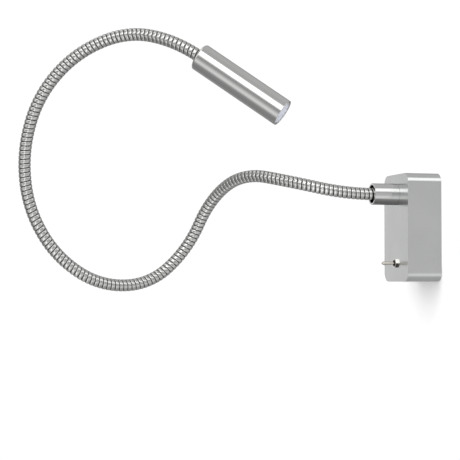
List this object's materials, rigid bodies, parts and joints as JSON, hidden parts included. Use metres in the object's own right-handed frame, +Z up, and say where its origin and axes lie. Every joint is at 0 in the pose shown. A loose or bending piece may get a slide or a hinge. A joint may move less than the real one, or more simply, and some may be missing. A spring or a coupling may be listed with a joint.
{
  "type": "wall reading light",
  "caption": "Wall reading light: a rounded metal box with a toggle switch and a collar that holds a ribbed bendable neck with a slim barrel head and lens.",
  "frame": {"origin": "middle between the two wall-screw holes, on the wall plane", "axes": "+Z up, +Y into the wall, +X to the right for someone facing the wall"},
  "size_m": [0.178, 0.3751, 0.2387],
  "materials": {
    "housing_metal": "satin nickel plate",
    "hose_metal": "bright nickel plate",
    "plate_steel": "zinc plate",
    "brass": "plain",
    "screw_steel": "nickel plate",
    "rubber": "matte",
    "switch_plastic": "matte",
    "board_laminate": "satin",
    "dark_plastic": "gloss",
    "terminal_plastic": "gloss",
    "cable_sheath": "satin",
    "head_metal": "satin nickel plate",
    "bare_aluminium": "machined",
    "reflector_plastic": "mirror",
    "lens_glass": "clear",
    "emitter": "gloss"
  },
  "bodies": {
    "wall_base": {"back_plate": "plate_steel", "base_lock_nut": "brass", "base_nipple": "brass", "board_screws": "screw_steel", "board_standoffs": "brass", "collar_tube": "housing_metal", "cover_screws": "screw_steel", "driver_board": "board_laminate", "driver_capacitor": "dark_plastic", "driver_transformer": "dark_plastic", "entry_grommet": "rubber", "hose_stretch_01": "hose_metal", "housing_shell": "housing_metal", "led_lead": "cable_sheath", "switch_leads": "cable_sheath", "terminal_block": "terminal_plastic", "terminal_screws": "screw_steel", "toggle_body": "switch_plastic", "toggle_bushing": "screw_steel", "toggle_lugs": "brass", "toggle_nut": "screw_steel"},
    "neck_02": {"hose_stretch_02": "hose_metal"},
    "neck_03": {"hose_stretch_03": "hose_metal"},
    "neck_04": {"hose_stretch_04": "hose_metal"},
    "neck_05": {"hose_stretch_05": "hose_metal"},
    "neck_06": {"hose_stretch_06": "hose_metal"},
    "neck_07": {"hose_stretch_07": "hose_metal"},
    "neck_08": {"hose_stretch_08": "hose_metal"},
    "neck_09": {"hose_stretch_09": "hose_metal"},
    "neck_10": {"hose_stretch_10": "hose_metal"},
    "neck_11": {"hose_stretch_11": "hose_metal"},
    "neck_12": {"hose_stretch_12": "hose_metal"},
    "neck_13": {"hose_stretch_13": "hose_metal"},
    "head": {"hose_stretch_14": "hose_metal", "head_barrel": "head_metal", "head_nipple": "brass", "head_lock_nut": "brass", "front_lens": "lens_glass", "reflector": "reflector_plastic", "led_emitter": "emitter", "led_board": "bare_aluminium", "heat_sink": "bare_aluminium", "led_board_screws": "screw_steel"},
    "toggle": {"toggle_lever": "screw_steel"}
  },
  "joints": [
    {"name": "neck_bend_01", "type": "hinge", "parent": "wall_base", "child": "neck_02", "pos_m": [-0.00758, -0.10631, 0.03698], "axis": [0.9563, -0.2849, 0.0658], "range_deg": [-15, 15], "deforming": ["led_lead"]},
    {"name": "neck_bend_02", "type": "hinge", "parent": "neck_02", "child": "neck_03", "pos_m": [-0.03409, -0.14822, 0.04763], "axis": [0, 0.2756, 0.9613], "range_deg": [-15, 15], "deforming": ["led_lead"]},
    {"name": "neck_bend_03", "type": "hinge", "parent": "neck_03", "child": "neck_04", "pos_m": [-0.07515, -0.17648, 0.04155], "axis": [0.5736, -0.5587, -0.5991], "range_deg": [-15, 15], "deforming": ["led_lead"]},
    {"name": "neck_bend_04", "type": "hinge", "parent": "neck_04", "child": "neck_05", "pos_m": [-0.10417, -0.19633, 0.00598], "axis": [0, -0.9336, 0.3584], "range_deg": [-15, 15], "deforming": ["led_lead"]},
    {"name": "neck_bend_05", "type": "hinge", "parent": "neck_05", "child": "neck_06", "pos_m": [-0.10779, -0.22498, -0.03541], "axis": [0.9925, 0.0906, 0.0815], "range_deg": [-15, 15], "deforming": ["led_lead"]},
    {"name": "neck_bend_06", "type": "hinge", "parent": "neck_06", "child": "neck_07", "pos_m": [-0.09942, -0.27096, -0.05363], "axis": [0, -0.0175, 0.9998], "range_deg": [-15, 15], "deforming": ["led_lead"]},
    {"name": "neck_bend_07", "type": "hinge", "parent": "neck_07", "child": "neck_08", "pos_m": [-0.09161, -0.31873, -0.03938], "axis": [0.9945, 0.0867, -0.0585], "range_deg": [-15, 15], "deforming": ["led_lead"]},
    {"name": "neck_bend_08", "type": "hinge", "parent": "neck_08", "child": "neck_09", "pos_m": [-0.08571, -0.35317, -0.00246], "axis": [0, 0.866, 0.5], "range_deg": [-15, 15], "deforming": ["led_lead"]},
    {"name": "neck_bend_09", "type": "hinge", "parent": "neck_09", "child": "neck_10", "pos_m": [-0.07937, -0.36878, 0.04558], "axis": [0.9925, 0.0127, -0.1212], "range_deg": [-15, 15], "deforming": ["led_lead"]},
    {"name": "neck_bend_10", "type": "hinge", "parent": "neck_10", "child": "neck_11", "pos_m": [-0.07038, -0.36536, 0.09568], "axis": [0, 0.9703, -0.2419], "range_deg": [-15, 15], "deforming": ["led_lead"]},
    {"name": "neck_bend_11", "type": "hinge", "parent": "neck_11", "child": "neck_12", "pos_m": [-0.05518, -0.34391, 0.13922], "axis": [0.9336, -0.2255, -0.2785], "range_deg": [-15, 15], "deforming": ["led_lead"]},
    {"name": "neck_bend_12", "type": "hinge", "parent": "neck_12", "child": "neck_13", "pos_m": [-0.03566, -0.30669, 0.16788], "axis": [0, 0.4067, -0.9135], "range_deg": [-15, 15], "deforming": ["led_lead"]},
    {"name": "neck_bend_13", "type": "hinge", "parent": "neck_13", "child": "head", "pos_m": [-0.00847, -0.26458, 0.17145], "axis": [0.7771, -0.5985, 0.1945], "range_deg": [-15, 15], "deforming": ["led_lead"]},
    {"name": "toggle_switch", "type": "hinge", "parent": "wall_base", "child": "toggle", "pos_m": [0, -0.031, -0.0329], "axis": [0, 0, 1], "range_deg": [0, 22]}
  ]
}
